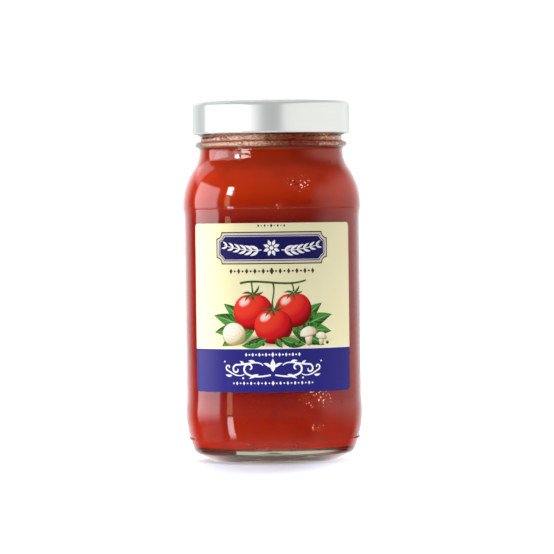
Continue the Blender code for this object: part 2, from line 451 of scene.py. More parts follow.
def smooth_piece(name, mesh, material):
    """A smooth-shaded object of the mesh, riding on the frame."""
    mesh.materials.append(material)
    mesh.shade_smooth()
    mesh.set_sharp_from_angle(angle=SHARP_EDGE)
    piece = bpy.data.objects.new(name, mesh)
    scene.collection.objects.link(piece)
    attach(piece, "root")
    return piece


def turned(name, outline, angles, material, reliefs=()):
    """An outline that runs from the axis to the axis, turned round Z, with relief along its radius."""
    rings = np.array(outline[1:-1])
    count = len(angles)
    radius = np.repeat(rings[:, :1], count, axis=1)
    height = np.repeat(rings[:, 1:], count, axis=1)
    angle = np.repeat(angles[None, :], len(rings), axis=0)
    radius = radius + sum(relief(radius, angle, height) for relief in reliefs)
    points = np.stack([radius * np.cos(angle), radius * np.sin(angle), height], axis=-1)
    poles = [(0, 0, outline[0][1]), (0, 0, outline[-1][1])]
    points = np.concatenate([points.reshape(-1, 3), poles])
    faces = []
    for row in range(len(rings) - 1):
        for column in range(count):
            beside = (column + 1) % count
            low, high = row * count, (row + 1) * count
            faces.append((low + column, low + beside, high + beside, high + column))
    first, last = len(points) - 2, len(points) - 1
    top = (len(rings) - 1) * count
    for column in range(count):
        beside = (column + 1) % count
        faces.append((first, beside, column))
        faces.append((last, top + column, top + beside))
    mesh = bpy.data.meshes.new(name)
    mesh.from_pydata(points.tolist(), [], faces)
    mesh.validate()
    return smooth_piece(name, mesh, material)


def shoulder_and_neck(inset, steps):
    """The shoulder's round and the neck's hollow, which meet in one tangent, taken in by inset."""
    shoulder = (SHOULDER_RADIUS - SHOULDER_CURVE, SHOULDER_HEIGHT)
    neck_across = NECK_RADIUS + NECK_CURVE - shoulder[0]
    reach = SHOULDER_CURVE + NECK_CURVE
    neck = (shoulder[0] + neck_across, shoulder[1] + sqrt(reach**2 - neck_across**2))
    meet = acos(neck_across / reach)
    rounded = arc(shoulder, SHOULDER_CURVE - inset, 0, meet, steps)
    return joined(rounded, arc(neck, NECK_CURVE + inset, pi + meet, pi, steps // 2))


def cavity(inset, top):
    """The inside from the middle of the floor to a height in the mouth, taken in by inset."""
    wall = PANEL_RADIUS - WALL - inset
    corner = (PANEL_RADIUS - WALL - FLOOR_CORNER, FLOOR_HEIGHT + FLOOR_CORNER)
    floor_line = line((0, FLOOR_HEIGHT + FLOOR_CROWN + inset), (corner[0], FLOOR_HEIGHT + inset), 8)
    rounded = arc(corner, FLOOR_CORNER - inset, -pi / 2, 0, 18)
    upper = shoulder_and_neck(WALL + inset, 24)
    mouth = (MOUTH_RADIUS - inset, BEAD_HEIGHT + BEAD_CURVE)
    return joined(
        floor_line,
        rounded,
        line((wall, corner[1]), (wall, PANEL_TOP), 12),
        ease((wall, PANEL_TOP), upper[0], 4),
        upper,
        line(upper[-1], mouth, 4),
        line(mouth, (MOUTH_RADIUS - inset, top), 8),
    )


def glass_outside():
    """Hollow foot, standing ring, heel, label panel, shoulder, neck, bead, finish and rim."""
    wide = arc((HEEL_RADIUS - HEEL_CURVE, HEEL_HEIGHT), HEEL_CURVE, HEEL_CURVE_ENDS, 0, 64)
    corner_centre = polar(wide[0], -FOOT_CORNER, HEEL_CURVE_ENDS)
    corner = arc(corner_centre, FOOT_CORNER, FOOT_SLOPE - pi / 2, HEEL_CURVE_ENDS, 8)
    bead = arc((BEAD_RADIUS - BEAD_CURVE, BEAD_HEIGHT), BEAD_CURVE, -pi / 2, pi / 2, 14)
    upper = shoulder_and_neck(0, 28)
    rim = arc((FINISH_RADIUS - RIM_CORNER, RIM_HEIGHT - RIM_CORNER), RIM_CORNER, 0, pi / 2, 4)
    thread_top = THREAD_FOOT + THREAD_RINGS_REACH
    return joined(
        line((0, PUNT_HEIGHT), (PUNT_RADIUS, PUNT_HEIGHT / 2), 5),
        ease((PUNT_RADIUS, PUNT_HEIGHT / 2), (FOOT_RING_INNER, 0), 5),
        line((FOOT_RING_INNER, 0), (FOOT_RING_OUTER, 0), 2),
        line((FOOT_RING_OUTER, 0), corner[0], 14),
        corner,
        wide,
        ease(wide[-1], (PANEL_RADIUS, PANEL_FOOT), 8),
        line((PANEL_RADIUS, PANEL_FOOT), (PANEL_RADIUS, PANEL_TOP), 14),
        ease((PANEL_RADIUS, PANEL_TOP), (SHOULDER_RADIUS, SHOULDER_HEIGHT), 28),
        upper,
        line(upper[-1], bead[0], 4),
        bead,
        line((FINISH_RADIUS, bead[-1][1]), (FINISH_RADIUS, thread_top), 20),
        line((FINISH_RADIUS, thread_top), (FINISH_RADIUS, RIM_HEIGHT - RIM_CORNER), 5),
        rim,
    )


def bump_round(distance, reach):
    """1 at no distance, falling softly to 0 at reach."""
    return np.cos(np.clip(distance / reach, 0, 1) * pi / 2) ** 2


def glass_relief(radius, angle, height):
    """What the mould gives the outside: lugs, seams, ledge, parting dashes, dots and knurls."""
    front = angle + pi / 2
    rise = np.zeros_like(radius)
    finish = (height > BEAD_HEIGHT + BEAD_CURVE) & (height < RIM_HEIGHT - RIM_CORNER)
    finish &= radius > MOUTH_RADIUS + WALL
    for thread in range(THREADS):
        along = (front - THREAD_TURN - thread * tau / THREADS) % tau
        centre = THREAD_FOOT + THREAD_LEAD * along / tau
        taper = np.clip(np.minimum(along, THREAD_SPAN - along) / THREAD_TAPER, 0, 1)
        lug = THREAD_DEPTH * taper * bump_round(np.abs(height - centre), THREAD_HALF_WIDTH)
        rise = np.maximum(rise, np.where(finish, lug, 0))
    outside = (radius > NECK_RADIUS - 0.0001) & (height > PLATE_HEIGHT) & (height < BEAD_HEIGHT)
    for seam in SEAM_ANGLES:
        aside = np.abs((angle - seam + pi) % tau - pi) * radius
        rise = rise + np.where(outside, SEAM_RISE * bump_round(aside, SEAM_HALF_WIDTH), 0)
    ledge = LEDGE_RISE * bump_round(np.abs(height - LEDGE_HEIGHT), LEDGE_HALF_WIDTH)
    rise = rise + np.where(outside, ledge, 0)
    parting = PARTING_RISE * bump_round(np.abs(height - PARTING_HEIGHT), PARTING_HALF_WIDTH)
    dashed = (np.abs(np.sin(front)) > PARTING_SIDES) & (np.cos(front * PARTING_DASHES) > DASH_END)
    rise = rise + np.where(dashed & (radius > PARTING_RADIUS), parting, 0)
    for group in DOT_GROUPS:
        for column in range(DOT_GROUP_COLUMNS):
            for level in DOT_ROWS[column % 2 :: 2]:
                aside = ((front - group - column * DOT_PITCH + pi) % tau - pi) * radius
                away = np.hypot(aside, height - level)
                dot = DOT_RISE * bump_round(away, DOT_RADIUS)
                rise = rise + np.where(radius > DOTS_FROM_RADIUS, dot, 0)
    knurled = (radius > KNURL_RADII[0]) & (radius < KNURL_RADII[1]) & (height < PLATE_HEIGHT)
    return rise + np.where(knurled, -KNURL_RISE * np.clip(np.cos(front * KNURLS), 0, 1), 0)


def ripple(radius, angle, height):
    """The faint unevenness that blown glass keeps on its outside."""
    blown = (radius > PANEL_RADIUS - 0.001) & (height > 0.01) & (height < BEAD_HEIGHT - BEAD_CURVE)
    swell = np.zeros_like(radius)
    for at in zip(*np.nonzero(blown)):
        spot = Vector((*polar((0, 0), RIPPLE_RADIUS, angle[at]), height[at]))
        coarse, fine = (noise.noise(spot * scale) for scale in RIPPLE_SCALES)
        swell[at] = coarse + 0.5 * fine
    return RIPPLE * swell


def noise_of(place, scale, detail, **more):
    """The grey of a noise texture."""
    look = {"Scale": scale, "Detail": detail}
    return add(tree_of(place), "ShaderNodeTexNoise", Vector=place, **look, **more).outputs["Fac"]


def bump(height, strength, distance, **more):
    """The normal that a surface gets from a height."""
    depth = {"Strength": strength, "Distance": distance}
    return add(tree_of(height), "ShaderNodeBump", Height=height, **depth, **more).outputs["Normal"]


def scaled(place, scale):
    """A place, stretched or squeezed along X, Y and Z."""
    return add(tree_of(place), "ShaderNodeMapping", Vector=place, Scale=scale).outputs["Vector"]


def turn_from_front(place):
    """How far round the jar a place is from the camera's side, in radians and growing to the right."""
    ways = parts_of(place)
    return maths("ARCTAN2", ways["X"], times(ways["Y"], -1.0))


def within(value, low, high, soft):
    """1 where a value lies between two limits, and 0 beyond them, with soft ends."""
    above = ramp(value, low - soft, low + soft)
    return times(above, ramp(value, high + soft, high - soft))


glass, tree, shader = principled("jar_glass", Roughness=0.0, IOR=1.52, Transmission_Weight=1.0)
place = object_place(tree)
ways = parts_of(place)
height = ways["Z"]
# Painted shade: the glass's colour turns dark brown along its creases and near its foot.
painted_crease_shade = 0.0
for level, half_width, depth in CREASE_SHADES:
    away = maths("ABSOLUTE", maths("SUBTRACT", height, level))
    dark = times(ramp(away, half_width, half_width * 0.3), depth)
    painted_crease_shade = maths("MAXIMUM", painted_crease_shade, dark)
# Painted shade: the parting dashes at the sides are darkened in the glass's colour.
aside = maths("ABSOLUTE", ways["X"])
at_sides = ramp(aside, 0.91 * HEEL_RADIUS, 0.93 * HEEL_RADIUS)
off_line = maths("ABSOLUTE", maths("SUBTRACT", height, PARTING_HEIGHT))
on_line = ramp(off_line, PARTING_HALF_WIDTH, PARTING_HALF_WIDTH / 2)
dash_shade = times(times(at_sides, on_line), 0.9)
painted_crease_shade = maths("MAXIMUM", painted_crease_shade, dash_shade)
# Brown mottling on the finish, partly marks and partly painted shade: it is thinner at the front left,
# where light falls.
marks = noise_of(scaled(place, (1, 1, 2.2)), 760.0, 3.0, Roughness=0.65)
at_finish = ramp(height, BEAD_HEIGHT - 0.002, BEAD_HEIGHT - 0.001)
lit_finish = within(turn_from_front(place), *LIT_FINISH_TURN, radians(8))
marks = maths("MULTIPLY_ADD", lit_finish, 0.07, marks)
marks_and_shade = times(ramp(marks, 0.60, 0.50), at_finish)
finish = mixed(marks_and_shade, CLEAR, MARK_AND_SHADE_BROWN)
tree.links.new(mixed(painted_crease_shade, finish, CREASE_SHADE_BROWN), shader.inputs["Base Color"])
skin = bump(noise_of(place, 240.0, 2.0), 0.02, 0.001)
moulded = bump(noise_of(place, 900.0, 2.0), at_finish, 0.0005, Normal=skin)
tree.links.new(moulded, shader.inputs["Normal"])
shadow_ray = add(tree, "ShaderNodeLightPath").outputs["Is Shadow Ray"]
through = add(tree, "ShaderNodeBsdfTransparent", Color=SHADOW_CLEAR)
clear = add(tree, "ShaderNodeMixShader", Fac=shadow_ray, i1=shader.outputs[0], i2=through.outputs[0])
tint = add(tree, "ShaderNodeVolumeAbsorption", Color=WALL_TINT, Density=WALL_DENSITY)
output = tree.nodes["Material Output"].inputs
tree.links.new(clear.outputs[0], output["Surface"])
tree.links.new(tint.outputs[0], output["Volume"])

seam_reach = 3 * SEAM_HALF_WIDTH / PANEL_RADIUS
fine = [(tau - pi / 2, FINE_HALF_SPAN)] + [(seam, seam_reach) for seam in SEAM_ANGLES]
inside = cavity(0, RIM_HEIGHT - RIM_CORNER)[::-1]
outline = glass_outside() + [(MOUTH_RADIUS + RIM_CORNER, RIM_HEIGHT)] + inside
jar = turned("jar", outline, columns(fine), glass, (glass_relief, ripple))
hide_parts("glass_jar")

# The sauce is a cooked, finely pulped tomato sauce, filled hot to above the foot of the lid. Its
# outside lies on the glass, so this piece reaches a little into the wall. Air shows in it as clusters
# of bubbles, as froth in the neck, and as a pocket where it has come off the glass. Its colour holds
# painted light: lighter towards the top and at the heel, painted highlights and rim shade on the
# bubbles, froth thinned where the neck is in shade, the pocket's painted reflection, and glints that glow.
SAUCE_LEVEL = 0.1546
SAUCE_DISH = 0.0006
INTO_WALL = 0.00012
SAUCE_TO_GLASS = 0.84
# Painted light: the sauce is lighter and more orange above the label, where light from above falls, and
# lighter at the heel, which the floor lights.
CRIMSON = (0.355, 0.009, 0.002)
TOP_LIT_RED = (0.58, 0.035, 0.003)
ORANGE_FROM, ORANGE_TO = 0.114, 0.126
HEEL_LIT_RED = (0.46, 0.024, 0.008)
HEEL_REACH = (0.032, 0.016)
DEEP_RED = (0.26, 0.008, 0.002)
PALE_PULP = (0.56, 0.034, 0.004)
HERB_GREEN = (0.050, 0.035, 0.008)
BUBBLE_CLUSTERS = (
    # to the right of the middle, up, and reach
    (0.0116, 0.1296, 0.0075),
    (0.0190, 0.0302, 0.0090),
    (0.0030, 0.1200, 0.0028),
    (0.0195, 0.0168, 0.0040),
)
CLUSTER_SHAPE = (1, 0.3, 1.6)
BUBBLE_WARP = 0.0022
# Bubbles: a painted highlight in each heart and a painted shade at each rim.
BUBBLE_HIGHLIGHT = (1.0, 0.50, 0.40)
BUBBLE_HALO = (0.62, 0.05, 0.015)
BUBBLE_RIM_SHADE = (0.16, 0.008, 0.002)
BUBBLE_GLINT = (0.90, 0.28, 0.20)
# The pocket's body, whose pink is a painted reflection, and its bright end, a painted highlight, each by
# its turns from the front and its heights.
POCKET = ((radians(-52), radians(-24)), (0.1408, 0.1455))
POCKET_END = ((radians(-25), radians(-17)), (0.1420, 0.1468))
POCKET_PINK_REFLECTION = (0.80, 0.36, 0.32)
POCKET_HIGHLIGHT = (1.0, 0.74, 0.70)
FROTH_FOOT = 0.1477
FROTH_PALE = (1.0, 0.70, 0.50)
FROTH_GLINT = (0.80, 0.57, 0.50)
# Turns where the froth is thinned: painted shade on the neck.
FROTH_SHADE_TURN = (radians(6), radians(44))
# Turns between which the froth has painted glints that glow, and how much.
FROTH_SHINE = (((radians(-62), radians(-6)), 0.50), ((radians(46), radians(80)), 0.35))


def cells_of(place, scale, channel):
    """Cells strewn about: how far a place is from its cell's middle, and the cell's random number."""
    cells = add(tree_of(place), "ShaderNodeTexVoronoi", Vector=place, Scale=scale).outputs
    chances = add(tree_of(place), "ShaderNodeSeparateColor", Color=cells["Color"]).outputs
    return cells["Distance"], chances[channel]


sauce, tree, shader = principled("sauce_pulp", Roughness=0.5, Specular_IOR_Level=0.0)
place = object_place(tree)
height = parts_of(place)["Z"]
turn = turn_from_front(place)
clouds = noise_of(place, 55.0, 4.0)
grain = noise_of(place, 900.0, 3.0, Roughness=0.65)
fibres = add(tree, "ShaderNodeTexVoronoi", Vector=place, Scale=620.0).outputs["Distance"]
from_herb, chance = cells_of(place, 230.0, "Red")
herbs = times(ramp(from_herb, 0.30, 0.16), ramp(chance, 0.90, 0.93))

clustered = 0.0
from_front = scaled(place, CLUSTER_SHAPE)
for aside, up, reach in BUBBLE_CLUSTERS:
    forward = -sqrt((PANEL_RADIUS - WALL) ** 2 - aside**2)
    middle = (aside, CLUSTER_SHAPE[1] * forward, CLUSTER_SHAPE[2] * up)
    away = vectors("DISTANCE", from_front, middle, output="Value")
    clustered = maths("MAXIMUM", clustered, ramp(away, reach, reach * 0.4))
warp = add(tree, "ShaderNodeTexNoise", Vector=place, Scale=500.0, Detail=1.0).outputs["Color"]
warped = vectors("MULTIPLY_ADD", warp, (BUBBLE_WARP,) * 3, place)
from_bubble, chance = cells_of(warped, 760.0, "Green")
bubbly = times(clustered, ramp(chance, 0.42, 0.50))
# Painted shade at each bubble's rim and a painted highlight at its heart.
rim = times(ramp(from_bubble, 0.60, 0.46), bubbly)
bubble_highlight = times(ramp(from_bubble, 0.34, 0.22), bubbly)

froth = ramp(noise_of(place, 260.0, 3.0), 0.26, 0.52)
froth_in_shade = times(within(turn, *FROTH_SHADE_TURN, radians(8)), 0.65)
frothy = times(froth, ramp(height, FROTH_FOOT, FROTH_FOOT + 0.0012))
frothy = times(frothy, maths("SUBTRACT", 1.0, froth_in_shade))
ragged = noise_of(place, 330.0, 2.0)
pockets = []
for turns, heights in (POCKET, POCKET_END):
    pocket = 1.0
    for value, (low, high) in ((turn, turns), (height, heights)):
        wobble = maths("MULTIPLY_ADD", ragged, 0.5 * (high - low), -0.25 * (high - low))
        wobbly = maths("ADD", value, wobble)
        pocket = times(pocket, within(wobbly, low, high, 0.04 * (high - low)))
    pockets.append(pocket)
lines = noise_of(scaled(place, (1, 1, 5)), 260.0, 1.0)
pocket_highlight = times(pockets[1], ramp(lines, 0.36, 0.50))

# Painted light: lighter red towards the top and at the heel.
above = add(tree, "ShaderNodeMapRange", Value=height, From_Min=ORANGE_FROM, From_Max=ORANGE_TO)
colour = mixed(above.outputs["Result"], CRIMSON, TOP_LIT_RED)
for share, strength, laid_over in (
    (ramp(height, *HEEL_REACH), 1.0, HEEL_LIT_RED),
    (ramp(clouds, 0.45, 0.75), 0.35, DEEP_RED),
    (ramp(grain, 0.5, 0.75), 0.45, PALE_PULP),
    (ramp(fibres, 0.28, 0.05), 0.22, DEEP_RED),
    (herbs, 0.6, HERB_GREEN),
    (clustered, 0.55, BUBBLE_HALO),
    (rim, 0.8, BUBBLE_RIM_SHADE),
    (bubble_highlight, 1.0, BUBBLE_HIGHLIGHT),
    (frothy, 1.0, FROTH_PALE),
    (pockets[0], 0.5, POCKET_PINK_REFLECTION),
    (pocket_highlight, 0.8, POCKET_HIGHLIGHT),
):
    colour = mixed(times(share, strength), colour, laid_over)
tree.links.new(colour, shader.inputs["Base Color"])

# Painted glints that glow: the bubbles' highlights, the froth on the neck's lit turns and the pocket's
# bright end.
shining = 0.0
for turns, share in FROTH_SHINE:
    shining = maths("MULTIPLY_ADD", within(turn, *turns, radians(6)), share, shining)
glint = maths("MAXIMUM", times(frothy, shining), times(pocket_highlight, 0.5))
glint = maths("MAXIMUM", bubble_highlight, glint)
in_neck = ramp(height, POCKET[1][0] - 0.002, POCKET[1][0])
glow = mixed(in_neck, BUBBLE_GLINT, FROTH_GLINT)
tree.links.new(mixed(glint, (0, 0, 0), glow), shader.inputs["Emission Color"])
shader.inputs["Emission Strength"].default_value = 1.0
tree.links.new(bump(grain, 0.2, 0.0004), shader.inputs["Normal"])
grazing = add(tree, "ShaderNodeFresnel", IOR=SAUCE_TO_GLASS).outputs[0]
mirror = add(tree, "ShaderNodeBsdfGlossy", Color=(1, 1, 1, 1), Roughness=0.03).outputs[0]
wetted = add(tree, "ShaderNodeMixShader", Fac=grazing, i1=shader.outputs[0], i2=mirror)
tree.links.new(wetted.outputs[0], tree.nodes["Material Output"].inputs["Surface"])

surface = cavity(-INTO_WALL, SAUCE_LEVEL)
top = line(surface[-1], (0, SAUCE_LEVEL - SAUCE_DISH), 10)
filling = turned("sauce", joined(surface, top), columns(), sauce)
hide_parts("tomato_sauce")

# The lid is drawn from one disc of tinplate and lacquered clear, so it's satin bright. Its panel has
# a raised crown, a ring and a safety button, and its skirt ends in a rolled foot.
LID_FOOT = 0.1536
LID_HEIGHT = 0.0158
LID_RADIUS = 0.0370
LID_CORNER = 0.0027
LID_SKIRT_WALL = 0.0008
LID_CROWN_RADIUS = 0.0262
LID_CROWN_DROP = 0.0004
LID_PANEL_RADIUS = 0.0240
LID_PANEL_DROP = 0.0005
LID_RING_RADIUS = 0.0185
LID_RING_HALF_WIDTH = 0.0011
LID_RING_RISE = 0.00025
LID_BUTTON_RADIUS = 0.0105
LID_BUTTON_EDGE = 0.0020
LID_BUTTON_RISE = 0.0003
LID_CURL = 0.0010
LID_UNDERSIDE = 0.0145
LID_TINT = (0.50, 0.53, 0.55, 1)
LID_GREENISH = (0.77, 0.80, 0.77)
LID_WARM = (0.80, 0.82, 0.78)

tinplate, tree, shader = principled(
    "lid_tinplate", Metallic=0.45, Specular_IOR_Level=0.0, Specular_Tint=LID_TINT
)
cloud = noise_of(object_place(tree), 35.0, 1.0)
tree.links.new(mixed(cloud, LID_GREENISH, LID_WARM), shader.inputs["Base Color"])
satin = add(tree, "ShaderNodeMapRange", Value=cloud, To_Min=0.20, To_Max=0.23)
tree.links.new(satin.outputs["Result"], shader.inputs["Roughness"])

panel = LID_FOOT + LID_HEIGHT - LID_PANEL_DROP
button_top = panel + LID_BUTTON_RISE
crown_top = LID_FOOT + LID_HEIGHT
ring_in = (LID_RING_RADIUS - LID_RING_HALF_WIDTH, panel)
ring_out = (LID_RING_RADIUS + LID_RING_HALF_WIDTH, panel)
ring_top = (LID_RING_RADIUS, panel + LID_RING_RISE)


def step(start, end, steps):
    """Points on an S-shaped curve that leaves start and reaches end level."""
    return line(start, end, steps, up=slow_ends)


corner_top = crown_top - LID_CROWN_DROP
corner_centre = (LID_RADIUS - LID_CORNER, corner_top - LID_CORNER)
inner = LID_RADIUS - LID_SKIRT_WALL
underside = LID_FOOT + LID_UNDERSIDE
curl_centre = (LID_RADIUS - LID_CURL, LID_FOOT + LID_CURL)
lid_outline = joined(
    line((0, button_top), (LID_BUTTON_RADIUS, button_top), 6),
    step((LID_BUTTON_RADIUS, button_top), (LID_BUTTON_RADIUS + LID_BUTTON_EDGE, panel), 6),
    line((LID_BUTTON_RADIUS + LID_BUTTON_EDGE, panel), ring_in, 3),
    step(ring_in, ring_top, 5),
    step(ring_top, ring_out, 5),
    line(ring_out, (LID_PANEL_RADIUS, panel), 3),
    step((LID_PANEL_RADIUS, panel), (LID_CROWN_RADIUS, crown_top), 6),
    step((LID_CROWN_RADIUS, crown_top), (corner_centre[0], corner_top), 6),
    arc(corner_centre, LID_CORNER, pi / 2, 0, 14),
    line((LID_RADIUS, corner_centre[1]), (LID_RADIUS, LID_FOOT + LID_CURL), 10),
    arc(curl_centre, LID_CURL, 0, -pi * 1.2, 16),
    line((inner, LID_FOOT + 3 * LID_CURL), (inner, underside - LID_CORNER / 2), 3),
    line((inner - LID_CORNER / 2, underside), (0, underside), 3),
)
cap = turned("cap", lid_outline[::-1], columns(), tinplate)
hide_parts("lid")

# The lid has a softbox, a glow and a screen of its own, as if flags kept the jar's lights off it, and
# the sauce has two lights that the glass doesn't mirror. The other studio lights leave out the lid.
lid_alone = bpy.data.collections.new("lid_alone")
lid_alone.objects.link(cap)
sauce_alone = bpy.data.collections.new("sauce_alone")
sauce_alone.objects.link(filling)
all_but_lid = bpy.data.collections.new("all_but_lid")
all_but_lid.objects.link(cap)
all_but_lid.collection_objects[0].light_linking.link_state = "EXCLUDE"
for name in STUDIO_LIGHTS:
    receivers = {"lid": lid_alone, "sauce": sauce_alone}.get(name.split("_")[0], all_but_lid)
    bpy.data.objects[name].light_linking.receiver_collection = receivers

# The label is coated paper, glued flat round the panel's front, with round corners. Its print lies
# on it in thin layers of ink, each a piece that is laid out flat and then bent round the jar.
LABEL_FOOT = 0.0336
LABEL_TOP = 0.1118
LABEL_SPAN = radians(119.2)
LABEL_TURN = radians(-0.55)
LABEL_CORNER = 0.0020
PAPER_BACK = PANEL_RADIUS + 0.00008
PAPER_FACE = PANEL_RADIUS + 0.00025
PAPER_STEP = 0.0012
INK = 0.00002
MM = 0.001
CREAM = (0.84, 0.80, 0.48)
WARM_CREAM = (0.86, 0.82, 0.52)


def node_group(name, inputs, outputs):
    """An empty group of shader nodes, with its input and output nodes."""
    group = bpy.data.node_groups.new(name, "ShaderNodeTree")
    for label, kind in inputs.items():
        group.interface.new_socket(label, in_out="INPUT", socket_type=kind)
    for label, kind in outputs.items():
        group.interface.new_socket(label, in_out="OUTPUT", socket_type=kind)
    return group, group.nodes.new("NodeGroupInput").outputs, group.nodes.new("NodeGroupOutput").inputs


coated, _, given = node_group("coated_paper", {}, {"Normal": "NodeSocketVector"})
tooth = noise_of(object_place(coated), 1400.0, 3.0)
coated.links.new(bump(tooth, 0.08, 0.0001), given["Normal"])


def on_paper(name, colour=(1, 1, 1), roughness=0.30, gloss=0.15):
    """A material for an ink on the label, or for its paper, with its node tree and its shader."""
    finish = {"Roughness": roughness, "Specular_IOR_Level": gloss}
    material, tree, shader = principled(name, Base_Color=(*colour, 1), **finish)
    surface = add(tree, "ShaderNodeGroup", {"node_tree": coated})
    tree.links.new(surface.outputs["Normal"], shader.inputs["Normal"])
    return material, tree, shader


paper, tree, shader = on_paper("label_paper", roughness=0.38, gloss=0.4)
aged = ramp(noise_of(object_place(tree), 40.0, 3.0), 0.3, 0.7)
tree.links.new(mixed(aged, CREAM, WARM_CREAM), shader.inputs["Base Color"])

label_height = (LABEL_TOP - LABEL_FOOT) / MM
label_half_width = LABEL_SPAN * PANEL_RADIUS / 2 / MM
corner_start = label_half_width - LABEL_CORNER / MM
label_stops = np.linspace(corner_start, label_half_width, 11)
label_stops = [*-label_stops[::-1], *label_stops]


def filled_cells(rows):
    """The cells between a grid's rows, each as its corners' places in the grid, with no corner twice."""
    for row in range(len(rows) - 1):
        for column in range(len(rows[row]) - 1):
            corners = []
            for at in ((row, column), (row + 1, column), (row + 1, column + 1), (row, column + 1)):
                spot = rows[at[0]][at[1]][:2]
                if all(hypot(spot[0] - x, spot[1] - y) > 1e-4 for _, (x, y) in corners):
                    corners.append((at, spot))
            if len(corners) > 2:
                yield [at for at, _ in corners]


def put_in_order(parts, kept):
    """Sort a mesh's edges or faces by place after the first ones, which keep their order. An extrusion
    leaves its sides in a chance order."""

    def middle(part):
        return (sum((vert.co for vert in part.verts), Vector()) / len(part.verts))[:]

    for index, part in enumerate(parts[:kept] + sorted(parts[kept:], key=middle)):
        part.index = index
    parts.sort()


def wrapped(name, grids, layer, material, back=PAPER_FACE):
    """A sheet or a print on the label. A grid is rows of points (across, up, s, t), in mm from the
    label's foot at its middle, and s and t say where a point is in its shape. They go to the UV map.
    The flat shapes are cut at every column, raised by their layer of ink and bent round the jar."""
    work = bmesh.new()
    uv = work.loops.layers.uv.new("print")
    for rows in grids:
        laid = [[work.verts.new((p[0], 0, p[1])) for p in row] for row in rows]
        for cell in filled_cells(rows):
            face = work.faces.new([laid[row][column] for row, column in cell])
            for loop, (row, column) in zip(face.loops, cell):
                loop[uv].uv = rows[row][column][2:]
    bmesh.ops.remove_doubles(work, verts=work.verts, dist=1e-5)
    pitch = PAPER_STEP / MM
    across = [v.co.x for v in work.verts]
    for column in range(int(min(across) // pitch), int(max(across) // pitch) + 1):
        geometry = work.verts[:] + work.edges[:] + work.faces[:]
        plane = {"plane_co": (column * pitch, 0, 0), "plane_no": (1, 0, 0)}
        bmesh.ops.bisect_plane(work, geom=geometry, dist=1e-6, **plane)
    for face in work.faces:
        if face.normal.y > 0:
            face.normal_flip()
    outer = PAPER_FACE + INK * layer
    flat_edges, flat_faces = 2 * len(work.edges), 2 * len(work.faces)
    sheet = bmesh.ops.extrude_face_region(work, geom=work.faces[:])
    raised = {v for v in sheet["geom"] if isinstance(v, bmesh.types.BMVert)}
    for vert in work.verts:
        angle = vert.co.x * MM / PANEL_RADIUS + LABEL_TURN
        radius = outer if vert in raised else back
        vert.co = Vector((radius * sin(angle), -radius * cos(angle), LABEL_FOOT + vert.co.z * MM))
    bmesh.ops.recalc_face_normals(work, faces=work.faces)
    put_in_order(work.edges, flat_edges)
    put_in_order(work.faces, flat_faces)
    mesh = bpy.data.meshes.new(name)
    work.to_mesh(mesh)
    work.free()
    piece = smooth_piece(name, mesh, material)
    return piece


def upright_rows(foot_of, top_of, stops):
    """Rows of two points, from a foot line to a top line, at each stop across."""
    return [[(a, foot_of(a), a / 10, 0), (a, top_of(a), a / 10, 1)] for a in stops]


def corner_take(across):
    """How far the label's round corners take in its foot and top at a place across it."""
    into = max(abs(across) - corner_start, 0)
    return LABEL_CORNER / MM - sqrt((LABEL_CORNER / MM) ** 2 - into**2)


paper_rows = upright_rows(corner_take, lambda a: label_height - corner_take(a), label_stops)
label = wrapped("label_sheet", [paper_rows], 0, paper, back=PAPER_BACK)
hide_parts("label")

# The print's flat inks: a blue band over the foot with scrollwork in white, and a navy plaque with
# scooped corners, a double border and a laurel, between two lines of small ornaments. No lettering.
NAVY = (0.011, 0.010, 0.100)
BAND_BLUE = (0.022, 0.019, 0.185)
WHITE_INK = (0.88, 0.88, 0.90)
BLACK_INK = (0.016, 0.015, 0.022)
BEIGE_INK = (0.66, 0.60, 0.42)
SEPIA_INK = (0.06, 0.05, 0.035)
BAND_TOP = 20.0
BAND_EDGE_TOP = 20.35
PLAQUE_MIDDLE = 66.7
PLAQUE_HALF_WIDTH = 27.4
PLAQUE_HALF_HEIGHT = 7.5
PLAQUE_SCOOP = 3.0


def curve(start, lead, follow, end, steps=12):
    """Points on a smooth curve that leaves start towards lead and comes into end from follow."""
    knots = [Vector((*spot, 0)) for spot in (start, lead, follow, end)]
    return [(p.x, p.y) for p in interpolate_bezier(*knots, steps + 1)]


def scroll(foot, lead, centre, reach, start, turn):
    """Points on a line that leaves foot towards lead and winds up round a centre."""
    wound = []
    for i in range(25):
        share = i / 24
        wound.append(polar(centre, reach * (1 - 0.8 * share), start + turn * share))
    side = reach * (1.2 if turn > 0 else -1.2)
    follow = (wound[0][0] + side * sin(start), wound[0][1] - side * cos(start))
    return curve(foot, lead, follow, wound[0])[:-1] + wound


def stroke(points, start_width, middle_width, end_width):
    """A band of ink along a line of points, as rows of two points across it."""
    rows = []
    for i, (across, up) in enumerate(points):
        before, after = points[max(i - 1, 0)], points[min(i + 1, len(points) - 1)]
        run = Vector((after[0] - before[0], after[1] - before[1])).normalized()
        share = i / (len(points) - 1)
        outer = start_width if share < 0.5 else end_width
        half = (outer + (middle_width - outer) * sin(pi * share)) / 2
        left = (across - run.y * half, up + run.x * half, -1, share)
        rows.append([left, (across + run.y * half, up - run.x * half, 1, share)])
    return rows


def leaf(foot, heading, length, width, bend=0.0, steps=12):
    """A pointed leaf, as rows of three points from its foot to its tip. Its s runs across from -1 to 1
    and its t along from 0 to 1."""
    rows = []
    for i in range(steps + 1):
        share = i / steps
        middle = polar(foot, length * share, heading + bend * share)
        half = width / 2 * sin(pi * share**0.85)
        aside = (-sin(heading + 2 * bend * share) * half, cos(heading + 2 * bend * share) * half)
        rows.append([(middle[0] + aside[0] * s, middle[1] + aside[1] * s, s, share) for s in (-1, 0, 1)])
    return rows


